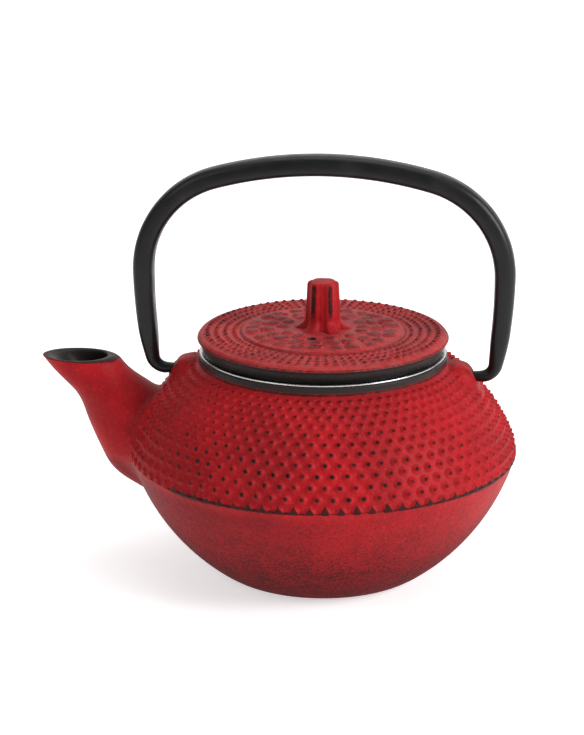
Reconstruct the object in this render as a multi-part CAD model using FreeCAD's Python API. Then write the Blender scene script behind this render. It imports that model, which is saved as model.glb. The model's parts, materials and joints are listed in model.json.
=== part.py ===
import FreeCAD, Part
import math
import os
from FreeCAD import Vector

# Cast iron teapot with a swinging bail, a loose lid and a stainless steel infuser.
# Millimetres. The origin is the centre of the flat base, +Z is up, the spout points
# along -X, and the bail turns about a line parallel to X through its two pins.

# ---- driving dimensions ------------------------------------------------------------
ELLIPSE = 0.5523               # fullness of a section that is a plain ellipse
WALL = 4.0                     # cast wall of the pot
BASE_FLAT_R = 28.5             # flat that the pot stands on
BOWL_START_R = 34.5            # where the base corner runs into the bowl
BOWL_START_Z = 2.5
BOWL_CENTRE = (-5.0, 56.5)     # centre (radius, height) of the bowl's profile arc
BOWL_ARC_R = 66.9
SHOULDER_CENTRE = (9.5, 23.0)  # centre (radius, height) of the shoulder's profile arc
SHOULDER_ARC_R = 51.9
SEAM_Z = 38.0                  # step between the smooth bowl and the shoulder
SEAM_STEP = 0.6
FLOOR_Z = 4.6                  # inside floor of the pot

NECK_R = 37.8                  # outside of the neck rim
NECK_BORE_R = 34.6
NECK_FOOT_Z = 66.6
NECK_TOP_Z = 69.2

PIVOT_Z = 62.4                 # height of the bail's pin line
LUG_FACE_X = 47.2
LUG_TOP_Z = 66.4
LUG_TOP_OUT_X = 42.8
LUG_TOP_IN_X = 39.8
LUG_WIDTH = 11.0
LUG_LEAN = 0.4                 # how far the outer face leans from its middle
LUG_SPLAY = 1.0                # how much wider each side is at its foot
LUG_BURIED = 6.0               # how far the ear reaches below the pin, into the shoulder
LUG_BORE_R = 1.55
LUG_BORE_END_X = 40.4

PIN_R = 1.5
PIN_END_X = 41.0
FOOT_R = 1.8                   # bail where it leaves the pin
FOOT_TAPER = 16.0              # length over which the foot becomes a bar
LEG_TAPER = 34.0               # length over which the bar reaches full size
GRIP_FULLNESS = 0.76
FOOT_BEND_R = 4.4              # centreline of the bend from the pin up into the leg
BAIL_HALF_SPAN = 54.8          # centreline of the legs at their widest
BAIL_WIDEST_Z = 93.5
BAIL_TOP_Z = 130.1             # outer face of the crown
BAIL_CORNER_R = 30.0           # centreline radius of the two upper corners
BAIL_LEG_R = 170.0             # slight inward bow of the legs
BAIL_THICK = 6.4               # radial thickness
BAIL_DEPTH = 8.0               # front to back

FLANGE_T = 0.6                 # infuser flange, lying on the neck rim
FLANGE_R = 37.6
SHEET_T = 0.5                  # infuser sheet and mesh
COLLAR_R = 33.8                # outside of the infuser's solid collar
COLLAR_LOW_Z = 61.0
MESH_TOP_Z = 64.0
INFUSER_LOW_Z = 33.0           # underside of the infuser's foot ring
FOOT_RING_HEIGHT = 4.0
FOOT_RING_LIP = 2.0

LID_R = 38.3                   # red lip of the lid
LID_LIP_LOW_Z = 73.2
LID_LIP_WIDEST_Z = (73.7, 74.0)
LID_LIP_TOP_Z = 75.1
LIP_SLOPE = 1.2                # radial width of the lip's sloping upper edge
LID_BAND_TOP_R = 37.6          # dark band under the lip
LID_BAND_LOW_R = 36.6
LID_STEP_R = 25.0              # edge of the slightly domed middle
LID_STEP_TOP_Z = 75.9
LID_BOSS_R = 9.5               # flat that the knob sits on
LID_BOSS_Z = 76.5
LID_UNDER_Z = 71.2
LID_COLLAR_R = 32.4
LID_COLLAR_WALL = 2.6
LID_COLLAR_LOW_Z = 64.6
VENT_R = 1.3
VENT_X = -2.3
VENT_Y = -12.2

KNOB_TOP_Z = 91.2
KNOB_TOP_R = 4.8
KNOB_LOW_R = 5.3
KNOB_FLARE_R = 8.8
KNOB_FLARE_H = 2.6
KNOB_RIBS = 6
KNOB_RIB_R = 1.25
RIB_INSET = 1.2                # from the column's outside in to a rib's centre
TANG_R = 2.5
RIVET_R = 4.2
RIVET_H = 1.3

LID_SEAT_Z = NECK_TOP_Z + FLANGE_T
MESH_R = COLLAR_R - SHEET_T    # outside of the mesh wall, inside of the collar


# ---- helpers -----------------------------------------------------------------------
def on_axis(r, z):
    """A point of a profile that is turned about the pot's axis."""
    return Vector(r, 0, z)


def arc_radius(centre, arc_r, z):
    """Radius of a profile arc at height z."""
    return centre[0] + math.sqrt(arc_r ** 2 - (z - centre[1]) ** 2)


def arc_point(centre, arc_r, z):
    return on_axis(arc_radius(centre, arc_r, z), z)


def arc_edge(centre, arc_r, z_a, z_b):
    """Profile arc between two heights, as an edge."""
    heights = (z_a, (z_a + z_b) / 2, z_b)
    return Part.Arc(*[arc_point(centre, arc_r, z) for z in heights]).toShape()


def line(a, b):
    return Part.LineSegment(a, b).toShape()


def outline(points):
    """Closed wire through straight runs."""
    return Part.makePolygon(points + [points[0]])


def turned(wire):
    """Solid of revolution about Z of a closed profile."""
    return Part.Face(wire).revolve(Vector(0, 0, 0), Vector(0, 0, 1), 360)


def turned_points(points):
    return turned(outline([on_axis(r, z) for r, z in points]))


def tube(r_out, r_in, z_low, z_high):
    return turned_points([(r_in, z_low), (r_out, z_low), (r_out, z_high), (r_in, z_high)])


def rounded_section(centre, u_dir, v_dir, half_u, half_v, fullness):
    """Closed section in four quarter curves, with its corners filled out by fullness."""
    arms = [(u_dir, half_u), (v_dir, half_v), (u_dir * -1, half_u), (v_dir * -1, half_v)]
    quarters = []
    for i in range(4):
        dir_a, half_a = arms[i]
        dir_b, half_b = arms[(i + 1) % 4]
        start = centre + dir_a * half_a
        end = centre + dir_b * half_b
        curve = Part.BezierCurve()
        curve.setPoles([start, start + dir_b * (half_b * fullness),
                        end + dir_a * (half_a * fullness), end])
        quarters.append(curve.toShape())
    return Part.Wire(quarters)


# ---- pot: one casting --------------------------------------------------------------
def pot_outside():
    """Bowl, seam step, shoulder and neck, solid."""
    low_z = SEAM_Z - SEAM_STEP
    high_z = NECK_FOOT_Z - 1.0
    origin = on_axis(0, 0)
    base = on_axis(BASE_FLAT_R, 0)
    corner = on_axis(BOWL_START_R - 2.6, 0.85)
    bowl_start = arc_point(BOWL_CENTRE, BOWL_ARC_R, BOWL_START_Z)
    bowl_end = arc_point(BOWL_CENTRE, BOWL_ARC_R, low_z)
    shoulder_start = arc_point(SHOULDER_CENTRE, SHOULDER_ARC_R, SEAM_Z)
    shoulder_end = arc_point(SHOULDER_CENTRE, SHOULDER_ARC_R, high_z)
    neck_foot = on_axis(NECK_R, NECK_FOOT_Z)
    neck_top = on_axis(NECK_R, NECK_TOP_Z)
    axis_top = on_axis(0, NECK_TOP_Z)
    return turned(Part.Wire([
        line(origin, base),
        Part.Arc(base, corner, bowl_start).toShape(),
        arc_edge(BOWL_CENTRE, BOWL_ARC_R, BOWL_START_Z, low_z),
        line(bowl_end, shoulder_start),
        arc_edge(SHOULDER_CENTRE, SHOULDER_ARC_R, SEAM_Z, high_z),
        line(shoulder_end, neck_foot),
        line(neck_foot, neck_top),
        line(neck_top, axis_top),
        line(axis_top, origin),
    ]))


def pot_cavity():
    """The space inside, out through the neck."""
    bowl_r = BOWL_ARC_R - WALL
    shoulder_r = SHOULDER_ARC_R - WALL
    reach = math.sqrt(shoulder_r ** 2 - (NECK_BORE_R - SHOULDER_CENTRE[0]) ** 2)
    neck_low = on_axis(NECK_BORE_R, SHOULDER_CENTRE[1] + reach)
    above = on_axis(NECK_BORE_R, NECK_TOP_Z + 1)
    axis_top = on_axis(0, NECK_TOP_Z + 1)
    floor = on_axis(0, FLOOR_Z)
    return turned(Part.Wire([
        line(floor, arc_point(BOWL_CENTRE, bowl_r, FLOOR_Z)),
        arc_edge(BOWL_CENTRE, bowl_r, FLOOR_Z, SEAM_Z),
        line(arc_point(BOWL_CENTRE, bowl_r, SEAM_Z),
             arc_point(SHOULDER_CENTRE, shoulder_r, SEAM_Z)),
        arc_edge(SHOULDER_CENTRE, shoulder_r, SEAM_Z, neck_low.z),
        line(neck_low, above),
        line(above, axis_top),
        line(axis_top, floor),
    ]))


# The spout in level slices: height, outer end, inner end and half width. The outer
# ends draw its underside and the inner ends its upper edge.
SPOUT_STATIONS = [
    (19.0, -50.5, -38.0, 3.5),
    (24.5, -57.3, -39.0, 7.5),
    (29.0, -63.8, -40.0, 10.5),
    (36.0, -68.6, -42.0, 12.8),
    (47.5, -73.4, -46.0, 12.2),
    (55.4, -77.2, -51.6, 10.6),
    (60.0, -81.9, -58.2, 9.1),
    (65.8, -86.9, -63.4, 8.0),
]
SPOUT_MOUTH_Z = SPOUT_STATIONS[-1][0]
SPOUT_MOUTH_WALL = 2.0
SPOUT_ROOT_WALL = 4.0
CHANNEL_LOW_Z = 31.5
CHANNEL_OVERRUN = 2.0


def spout_course():
    """Smooth curve whose value at height z is (outer end, inner end, half width)."""
    curve = Part.BSplineCurve()
    curve.interpolate(Points=[Vector(*s[1:]) for s in SPOUT_STATIONS],
                      Parameters=[s[0] for s in SPOUT_STATIONS])
    return curve


def level_slice(course, z, wall=0.0):
    """Elliptical slice of the spout at height z, drawn in by the wall."""
    x_out, x_in, half_width = course.value(min(z, SPOUT_MOUTH_Z))
    centre = Vector((x_out + x_in) / 2, 0, z)
    half_length = (x_in - x_out) / 2
    return rounded_section(centre, Vector(1, 0, 0), Vector(0, 1, 0),
                           half_length - wall, half_width - wall, ELLIPSE)


def spaced(start, end, count):
    return [start + (end - start) * i / (count - 1) for i in range(count)]


def spout_outside():
    course = spout_course()
    heights = spaced(SPOUT_STATIONS[0][0], SPOUT_MOUTH_Z, 16)
    return Part.makeLoft([level_slice(course, z) for z in heights], True, False)


def spout_channel():
    course = spout_course()
    slices = []
    for z in spaced(CHANNEL_LOW_Z, SPOUT_MOUTH_Z, 12):
        share = (SPOUT_MOUTH_Z - z) / (SPOUT_MOUTH_Z - CHANNEL_LOW_Z)
        wall = SPOUT_MOUTH_WALL + (SPOUT_ROOT_WALL - SPOUT_MOUTH_WALL) * share
        slices.append(level_slice(course, z, wall))
    mouth = level_slice(course, SPOUT_MOUTH_Z, SPOUT_MOUTH_WALL)
    above = Part.Face(mouth).extrude(Vector(0, 0, CHANNEL_OVERRUN))
    return [Part.makeLoft(slices, True, False), above]


def lug(side):
    """Ear on the shoulder that holds one pin of the bail; side is -1 or +1."""
    low_z = PIVOT_Z - LUG_BURIED
    tip = Vector(LUG_FACE_X - LUG_LEAN, 0, PIVOT_Z)
    top_out = Vector(LUG_TOP_OUT_X, 0, LUG_TOP_Z)
    top_in = Vector(LUG_TOP_IN_X, 0, LUG_TOP_Z)
    low_out = Vector(LUG_FACE_X + LUG_LEAN, 0, low_z)
    low_in = Vector(LUG_TOP_IN_X - 4.0, 0, low_z)
    shoulder = Vector((LUG_FACE_X + LUG_TOP_OUT_X) / 2 + 0.5, 0, LUG_TOP_Z - 1.2)
    side_view = Part.Wire([
        line(low_in, top_in), line(top_in, top_out),
        Part.Arc(top_out, shoulder, tip).toShape(),
        line(tip, low_out), line(low_out, low_in),
    ])
    side_view.translate(Vector(0, -LUG_WIDTH, 0))
    prism = Part.Face(side_view).extrude(Vector(0, 2 * LUG_WIDTH, 0))
    half = LUG_WIDTH / 2
    ear_low = [Vector(0, y, low_z) for y in (-half - LUG_SPLAY, half + LUG_SPLAY)]
    ear_high = [Vector(0, y, PIVOT_Z) for y in (-half, half)]
    end_view = Part.Wire([
        line(ear_low[0], ear_high[0]),
        Part.Arc(ear_high[0], Vector(0, 0, LUG_TOP_Z + 0.1), ear_high[1]).toShape(),
        line(ear_high[1], ear_low[1]), line(ear_low[1], ear_low[0]),
    ])
    ear = Part.Face(end_view).extrude(Vector(LUG_FACE_X + 5, 0, 0)).common(prism)
    if side < 0:
        ear = ear.mirror(Vector(0, 0, 0), Vector(1, 0, 0))
    return ear


def lug_bore(side):
    start = Vector(side * LUG_BORE_END_X, 0, PIVOT_Z)
    return Part.makeCylinder(LUG_BORE_R, 12, start, Vector(side, 0, 0))


def make_pot_body():
    solid = pot_outside().fuse([spout_outside(), lug(-1), lug(1)])
    solid = solid.cut([pot_cavity()] + spout_channel())
    solid = solid.cut([lug_bore(-1), lug_bore(1)])
    return solid.removeSplitter()


# ---- bail handle -------------------------------------------------------------------
def bail_path():
    """Right half of the centreline as (x, z, turn), from the foot to the crown.

    turn is the angle of the direction of travel above the +X axis. The parts are the
    bend at the foot, the bowed leg, the corner and the crown, each tangent to the next.
    """
    corner_x = BAIL_HALF_SPAN - BAIL_CORNER_R
    rise = BAIL_TOP_Z - BAIL_THICK / 2 - BAIL_WIDEST_Z
    crown_r = (corner_x ** 2 + rise ** 2 - BAIL_CORNER_R ** 2) / (2 * (rise - BAIL_CORNER_R))
    crown_centre_z = BAIL_WIDEST_Z + rise - crown_r
    corner_end = math.atan2(BAIL_WIDEST_Z - crown_centre_z, corner_x)
    leg_centre_x = BAIL_HALF_SPAN - BAIL_LEG_R
    bend_centre_z = PIVOT_Z + FOOT_BEND_R
    leg_low = math.asin((bend_centre_z - BAIL_WIDEST_Z) / (BAIL_LEG_R - FOOT_BEND_R))
    bend_centre_x = leg_centre_x + (BAIL_LEG_R - FOOT_BEND_R) * math.cos(leg_low)
    arcs = [
        (bend_centre_x, bend_centre_z, FOOT_BEND_R, -math.pi / 2, leg_low, 6),
        (leg_centre_x, BAIL_WIDEST_Z, BAIL_LEG_R, leg_low, 0.0, 7),
        (corner_x, BAIL_WIDEST_Z, BAIL_CORNER_R, 0.0, corner_end, 10),
        (0.0, crown_centre_z, crown_r, corner_end, math.pi / 2, 6),
    ]
    stations = []
    for cx, cz, radius, start, end, count in arcs:
        for i in range(count):
            a = start + (end - start) * i / count
            stations.append((cx + radius * math.cos(a), cz + radius * math.sin(a), a + math.pi / 2))
    stations.append((0.0, crown_centre_z + crown_r, math.pi))
    return stations


def bail_section(x, z, turn, travelled):
    """Section across the bail: round at the foot, a flattened bar in the grip."""
    grown = min(1.0, travelled / FOOT_TAPER)
    grown = grown * grown * (3 - 2 * grown)
    slow = min(1.0, travelled / LEG_TAPER)
    half_t = FOOT_R + (BAIL_THICK / 2 - FOOT_R) * (0.6 * grown + 0.4 * slow)
    half_d = FOOT_R + (BAIL_DEPTH / 2 - FOOT_R) * (0.8 * grown + 0.2 * slow)
    fullness = ELLIPSE + (GRIP_FULLNESS - ELLIPSE) * grown
    outward = Vector(math.cos(turn + math.pi / 2), 0, math.sin(turn + math.pi / 2))
    return rounded_section(Vector(x, 0, z), outward, Vector(0, 1, 0),
                           half_t, half_d, fullness)


def make_bail_handle():
    half = bail_path()
    travelled = [0.0]
    for (x_a, z_a, _), (x_b, z_b, _) in zip(half, half[1:]):
        travelled.append(travelled[-1] + math.hypot(x_b - x_a, z_b - z_a))
    left = [bail_section(-x, z, math.pi - turn, way)
            for (x, z, turn), way in zip(half, travelled)]
    right = [bail_section(x, z, turn + math.pi, way)
             for (x, z, turn), way in zip(half, travelled)]
    bar = Part.makeLoft(left + right[-2::-1], True, False)
    pins = []
    for side in (-1, 1):
        start = Vector(side * PIN_END_X, 0, PIVOT_Z)
        length = half[0][0] - PIN_END_X + 1.0
        pins.append(Part.makeCylinder(PIN_R, length, start, Vector(side, 0, 0)))
    return bar.fuse(pins)


# ---- infuser: pressed rim, mesh wall, mesh floor and foot ring ----------------------
def make_infuser_rim():
    return turned_points([
        (MESH_R, COLLAR_LOW_Z), (COLLAR_R, COLLAR_LOW_Z), (COLLAR_R, NECK_TOP_Z),
        (FLANGE_R, NECK_TOP_Z), (FLANGE_R, LID_SEAT_Z), (MESH_R, LID_SEAT_Z),
    ])


def make_infuser_wall():
    return tube(MESH_R, MESH_R - SHEET_T, INFUSER_LOW_Z + SHEET_T, MESH_TOP_Z)


def make_infuser_floor():
    low = Vector(0, 0, INFUSER_LOW_Z + SHEET_T)
    return Part.makeCylinder(MESH_R - SHEET_T, SHEET_T, low)


def make_infuser_foot_ring():
    z = INFUSER_LOW_Z
    return turned_points([
        (MESH_R - FOOT_RING_LIP, z), (COLLAR_R, z), (COLLAR_R, z + FOOT_RING_HEIGHT),
        (MESH_R, z + FOOT_RING_HEIGHT), (MESH_R, z + SHEET_T),
        (MESH_R - FOOT_RING_LIP, z + SHEET_T),
    ])


# ---- lid and knob ------------------------------------------------------------------
def make_lid():
    collar_in = LID_COLLAR_R - LID_COLLAR_WALL
    plate = turned_points([
        (0, LID_UNDER_Z), (collar_in, LID_UNDER_Z), (collar_in, LID_COLLAR_LOW_Z),
        (LID_COLLAR_R, LID_COLLAR_LOW_Z), (LID_COLLAR_R, LID_SEAT_Z),
        (LID_BAND_LOW_R, LID_SEAT_Z), (LID_BAND_TOP_R, LID_LIP_LOW_Z),
        (LID_R, LID_LIP_WIDEST_Z[0]), (LID_R, LID_LIP_WIDEST_Z[1]),
        (LID_R - LIP_SLOPE, LID_LIP_TOP_Z), (LID_STEP_R, LID_LIP_TOP_Z + 0.2),
        (LID_STEP_R - 0.4, LID_STEP_TOP_Z), (LID_BOSS_R, LID_BOSS_Z), (0, LID_BOSS_Z),
    ])
    low = Vector(VENT_X, VENT_Y, LID_UNDER_Z - 1)
    vent = Part.makeCylinder(VENT_R, 10, low)
    tang_hole = Part.makeCylinder(TANG_R, 10, Vector(0, 0, LID_UNDER_Z - 1))
    return plate.cut([vent, tang_hole])


def make_lid_knob():
    """Ribbed knob, cast with a tang that is peened over under the lid."""
    foot_top_z = LID_BOSS_Z + KNOB_FLARE_H
    rivet_low_z = LID_UNDER_Z - RIVET_H
    column = turned_points([
        (0, rivet_low_z), (RIVET_R - 0.8, rivet_low_z), (RIVET_R, LID_UNDER_Z - 0.5),
        (RIVET_R, LID_UNDER_Z), (TANG_R, LID_UNDER_Z), (TANG_R, LID_BOSS_Z),
        (KNOB_FLARE_R, LID_BOSS_Z), (KNOB_LOW_R + 0.9, LID_BOSS_Z + 1.2),
        (KNOB_LOW_R - 0.4, foot_top_z), (KNOB_TOP_R - 0.4, KNOB_TOP_Z - 0.9),
        (KNOB_TOP_R - 1.3, KNOB_TOP_Z - 0.15), (0, KNOB_TOP_Z),
    ])
    ribs = []
    for i in range(KNOB_RIBS):
        a = 2 * math.pi * (i + 0.5) / KNOB_RIBS
        place = Vector(math.cos(a), math.sin(a), 0)
        low = place * (KNOB_LOW_R - RIB_INSET) + Vector(0, 0, LID_BOSS_Z + 0.8)
        high = place * (KNOB_TOP_R - RIB_INSET) + Vector(0, 0, KNOB_TOP_Z - 1.0)
        ribs.append(Part.makeCylinder(KNOB_RIB_R, (high - low).Length, low, high - low))
    return column.fuse(ribs).removeSplitter()


# ---- one STEP file per node --------------------------------------------------------
NODES = {
    "pot_body": make_pot_body,
    "bail_handle": make_bail_handle,
    "infuser_rim": make_infuser_rim,
    "infuser_wall": make_infuser_wall,
    "infuser_floor": make_infuser_floor,
    "infuser_foot_ring": make_infuser_foot_ring,
    "lid": make_lid,
    "lid_knob": make_lid_knob,
}

os.makedirs("parts", exist_ok=True)
for name, make in NODES.items():
    shape = make()
    print(name, "valid", shape.isValid(), "solids", len(shape.Solids),
          "volume %.0f" % shape.Volume)
    shape.exportStep("parts/%s.step" % name)
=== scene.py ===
import json
import math

import bmesh
import bpy
import numpy as np
from mathutils import Matrix, Vector


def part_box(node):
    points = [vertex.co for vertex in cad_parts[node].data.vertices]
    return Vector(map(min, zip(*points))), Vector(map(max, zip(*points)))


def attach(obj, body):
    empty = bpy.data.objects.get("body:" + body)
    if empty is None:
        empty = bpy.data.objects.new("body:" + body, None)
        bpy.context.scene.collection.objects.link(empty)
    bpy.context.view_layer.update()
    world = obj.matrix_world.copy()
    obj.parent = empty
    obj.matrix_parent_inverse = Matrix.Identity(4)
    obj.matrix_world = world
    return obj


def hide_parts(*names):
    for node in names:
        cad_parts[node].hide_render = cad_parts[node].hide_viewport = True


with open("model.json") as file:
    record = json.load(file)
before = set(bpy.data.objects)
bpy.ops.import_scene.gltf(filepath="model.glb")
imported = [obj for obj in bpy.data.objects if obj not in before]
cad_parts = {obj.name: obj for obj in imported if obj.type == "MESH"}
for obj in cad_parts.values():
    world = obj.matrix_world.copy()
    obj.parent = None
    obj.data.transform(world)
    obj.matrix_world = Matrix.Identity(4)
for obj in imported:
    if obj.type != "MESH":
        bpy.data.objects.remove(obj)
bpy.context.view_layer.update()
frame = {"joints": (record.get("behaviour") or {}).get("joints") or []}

# A small cast iron teapot. All shapes are worked out in millimetres, in the CAD model's
# frame, and become metres when their mesh is made.
MM = 0.001
SEED = 11

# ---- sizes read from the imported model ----
def box_mm(node):
    """Lowest and highest corners of a CAD node, in millimetres."""
    low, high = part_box(node)
    return np.array(low) / MM, np.array(high) / MM


FLANGE_T = 0.6  # infuser flange, between the neck and the lid
FLANGE_R, _, LID_SEAT_Z = box_mm("infuser_rim")[1]
NECK_TOP_Z = LID_SEAT_Z - FLANGE_T
INFUSER_R = box_mm("infuser_foot_ring")[1][0]
INFUSER_LOW_Z = box_mm("infuser_foot_ring")[0][2]
LID_R = box_mm("lid")[1][0]
LID_COLLAR_LOW_Z = box_mm("lid")[0][2]
KNOB_LOW_Z, KNOB_TOP_Z = (corner[2] for corner in box_mm("lid_knob"))
_, BAIL_HALF_DEPTH, BAIL_TOP_Z = box_mm("bail_handle")[1]
PIVOT_Z = [j for j in frame["joints"] if j["name"] == "bail_swing"][0]["pos_m"][2] / MM

# ---- the pot's profile, as in the CAD model ----
BASE_FLAT_R = 28.5
BOWL_START = (34.5, 2.5)
BOWL = (-5.0, 56.5, 66.9)  # centre radius, centre height and radius of the arc
SHOULDER = (9.5, 23.0, 51.9)
WALL = 4.0
SEAM_Z = 38.0  # the shoulder overhangs the bowl here
SEAM_STEP = 0.6
# dark seam band: painted shade under the overhang, with wear where the lowest row is ground
SEAM_SHADE_AND_WEAR = 0.72
SEAM_PHASE = 3.67  # turns the wavy painted shade and wear of the seam about the pot
FLOOR_Z = 4.6
INNER_SHOULDER = (SHOULDER[0], SHOULDER[1], SHOULDER[2] - WALL)
NECK_R = 37.8
NECK_BORE_R = 34.6
NECK_FOOT_Z = 66.6

SPOUT_STATIONS = np.array([
    # height, outer end, inner end, half width
    (19.0, -50.5, -38.0, 3.5),
    (24.5, -57.3, -39.0, 7.5),
    (29.0, -63.8, -40.0, 10.5),
    (36.0, -68.6, -42.0, 12.8),
    (47.5, -73.4, -46.0, 12.2),
    (55.4, -77.2, -51.6, 10.6),
    (60.0, -81.9, -58.2, 9.1),
    (65.8, -86.9, -63.4, 8.0),
])
MOUTH_Z = 65.8
MOUTH_WALL = (3.7, 2.2)  # at the ends and at the sides of the mouth
ROOT_WALL = (4.4, 4.0)
CHANNEL_LOW_Z = 31.5
SPOUT_SIDES, SPOUT_ROWS = 96, 76
ROOT_SHADE_AND_FLECKS = 0.34  # darkening where the spout leaves the shoulder: painted shade in the crease, mottled with dark flecks
SPOUT_BLEND = (0.8, 7.0, 3.5)  # softness of its joint: under it, beside it and above it

LUG_CENTRE = (40.7, 0.0, 59.4)
LUG_HALF = (5.4, 5.3, 6.9)
LUG_LEAN = 0.22  # outward lean of its face, downwards
LUG_POWER = 4.0  # squareness
LUG_BLEND = 4.0
LUG_WEAR = 0.35  # on its upper outer edge
BORE_R = 1.55
BORE_SIDES = 24

COLUMNS = 246  # around the pot
HOBNAILS = 82  # in a row
HOBNAIL_ROWS = 12
HOBNAIL_LOW_Z = 38.5
HOBNAIL_PHASE = 0.81  # of their pitch
ROW_GAP = (3.45, 2.62)  # along the shoulder, at the lowest and the highest row
HOBNAIL_SHARP = 1.35
HOBNAIL_GRID = (10, 5)  # sides and rings of each one's mesh
TOOTH_GRID = (16, 10)  # the same for the lowest row, which is ground off
TOOTH_R = 59.5  # to this radius
CAVITY_COLUMNS = 126
LUG_GRID = (30, 44)
BURIED = -0.9  # faces this far inside a neighbouring form are left out


# ---- mesh helpers ----
class Shell:
    """Collects grids of points in millimetres and makes one mesh object of them.

    rub says where the paint is worn off, and in places where shade is painted dark; coat says where
    it is black instead of red, and above one where it is painted near-black as shadow.
    """

    def __init__(self):
        self.points, self.faces, self.rub, self.coat = [], [], [], []
        self.count = 0

    def add(self, points, faces, rub=0.0, coat=0.0):
        points = np.asarray(points, float).reshape(-1, 3)
        self.points.append(points)
        self.faces += (np.asarray(faces) + self.count).tolist()
        for values, kept in ((rub, self.rub), (coat, self.coat)):
            kept.append(np.broadcast_to(np.asarray(values, float).reshape(-1), len(points)))
        self.count += len(points)

    def make(self, name, sharp_deg=38):
        mesh = bpy.data.meshes.new(name)
        mesh.from_pydata((np.concatenate(self.points) * MM).tolist(), [], self.faces)
        for key, values in (("rub", self.rub), ("coat", self.coat)):
            layer = mesh.attributes.new(key, "FLOAT", "POINT")
            layer.data.foreach_set("value", np.concatenate(values).astype(np.float32))
        work = bmesh.new()
        work.from_mesh(mesh)
        bmesh.ops.remove_doubles(work, verts=work.verts, dist=2e-6)
        loose = [v for v in work.verts if not v.link_faces]
        bmesh.ops.delete(work, geom=loose, context="VERTS")
        work.to_mesh(mesh)
        work.free()
        mesh.shade_smooth()
        mesh.set_sharp_from_angle(angle=math.radians(sharp_deg))
        piece = bpy.data.objects.new(name, mesh)
        bpy.context.scene.collection.objects.link(piece)
        return piece


def grid_faces(rows, columns, closed=True):
    """Quads of a grid of points, whose last column joins the first when closed."""
    row = np.arange(rows - 1)[:, None]
    column = np.arange(columns if closed else columns - 1)[None, :]
    a = row * columns + column
    b = row * columns + (column + 1) % columns
    return np.stack([a, b, b + columns, a + columns], -1).reshape(-1, 4)


def smoothstep(x, low, high):
    t = np.clip((x - low) / (high - low), 0, 1)
    return t * t * (3 - 2 * t)


def round_angles(count):
    return np.arange(count) * 2 * math.pi / count


def polar(r, angles, z):
    """Points at a radius, an angle and a height, each a number or an array."""
    return np.stack(np.broadcast_arrays(r * np.cos(angles), r * np.sin(angles), z), -1)


def signed_power(value, power):
    """Turns the cosine and sine of a circle into those of a rounded square."""
    return np.sign(value) * np.abs(value) ** (2 / power)


def arc_radius(arc, z):
    """Radius of a profile arc at a height."""
    return arc[0] + np.sqrt(arc[2] ** 2 - (z - arc[1]) ** 2)


def arc_run(arc, z_a, z_b, count):
    """Points of a profile arc between two heights, evenly spaced along it."""
    angles = np.linspace(math.asin((z_a - arc[1]) / arc[2]),
                         math.asin((z_b - arc[1]) / arc[2]), count)
    return np.stack([arc[0] + arc[2] * np.cos(angles), arc[1] + arc[2] * np.sin(angles)], -1)


def rounded(corners, steps=4):
    """Profile through corners given as (r, z, fillet radius)."""
    out = []
    for i, (r, z, fillet) in enumerate(corners):
        here = np.array([r, z], float)
        if fillet <= 0 or i in (0, len(corners) - 1):
            out.append(here)
            continue
        before = np.array(corners[i - 1][:2]) - here
        after = np.array(corners[i + 1][:2]) - here
        reach_a = min(fillet, np.linalg.norm(before) * 0.45)
        reach_b = min(fillet, np.linalg.norm(after) * 0.45)
        start = here + before / np.linalg.norm(before) * reach_a
        end = here + after / np.linalg.norm(after) * reach_b
        for t in np.linspace(0, 1, steps + 1):
            out.append((1 - t) ** 2 * start + 2 * t * (1 - t) * here + t * t * end)
    return np.array(out)


def turn_profile(profile, columns):
    """Grid of points of a profile turned about Z, facing outwards."""
    return polar(profile[:, :1], round_angles(columns), profile[:, 1:])


def lathe(shell, profile, columns, rub=0.0, coat=0.0):
    """Adds a turned profile; rub and coat are one number or one value per profile point."""
    rows = len(profile)
    spread = [np.repeat(np.broadcast_to(value, rows), columns) for value in (rub, coat)]
    shell.add(turn_profile(profile, columns), grid_faces(rows, columns), *spread)


# ---- the pot's skin as a distance field, for soft joints between its parts ----
def spline(x_known, y_known):
    """Natural cubic spline through a few values, as a function."""
    n = len(x_known)
    h = np.diff(x_known)
    a = np.eye(n)
    b = np.zeros((n,) + y_known.shape[1:])
    for i in range(1, n - 1):
        a[i, i - 1], a[i, i], a[i, i + 1] = h[i - 1], 2 * (h[i - 1] + h[i]), h[i]
        b[i] = 6 * ((y_known[i + 1] - y_known[i]) / h[i]
                    - (y_known[i] - y_known[i - 1]) / h[i - 1])
    bend = np.linalg.solve(a, b)

    def value(x):
        x = np.clip(x, x_known[0], x_known[-1])
        i = np.clip(np.searchsorted(x_known, x) - 1, 0, n - 2)
        u, w, g = (x_known[i + 1] - x), (x - x_known[i]), h[i]
        u, w, g = u[..., None], w[..., None], g[..., None]
        return ((bend[i] * u ** 3 + bend[i + 1] * w ** 3) / (6 * g)
                + (y_known[i] / g - bend[i] * g / 6) * u
                + (y_known[i + 1] / g - bend[i + 1] * g / 6) * w)

    return value


spout_course = spline(SPOUT_STATIONS[:, 0], SPOUT_STATIONS[:, 1:])


def body_distance(p):
    """Distance to the bowl below the seam, and to the shoulder above it."""
    rho = np.hypot(p[..., 0], p[..., 1])
    z = p[..., 2]
    bowl = np.hypot(rho - BOWL[0], z - BOWL[1]) - BOWL[2]
    shoulder = np.hypot(rho - SHOULDER[0], z - SHOULDER[1]) - SHOULDER[2]
    return np.where(z < SEAM_Z, bowl, shoulder)


def spout_level(p):
    """Below zero inside the spout, above zero outside it; not yet a distance."""
    ends = spout_course(p[..., 2])
    middle = (ends[..., 0] + ends[..., 1]) / 2
    half_length = (ends[..., 1] - ends[..., 0]) / 2
    reach = np.hypot((p[..., 0] - middle) / half_length, p[..., 1] / ends[..., 2])
    return np.maximum((reach - 1) * np.sqrt(half_length * ends[..., 2]),
                      SPOUT_STATIONS[0, 0] - p[..., 2])


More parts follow.
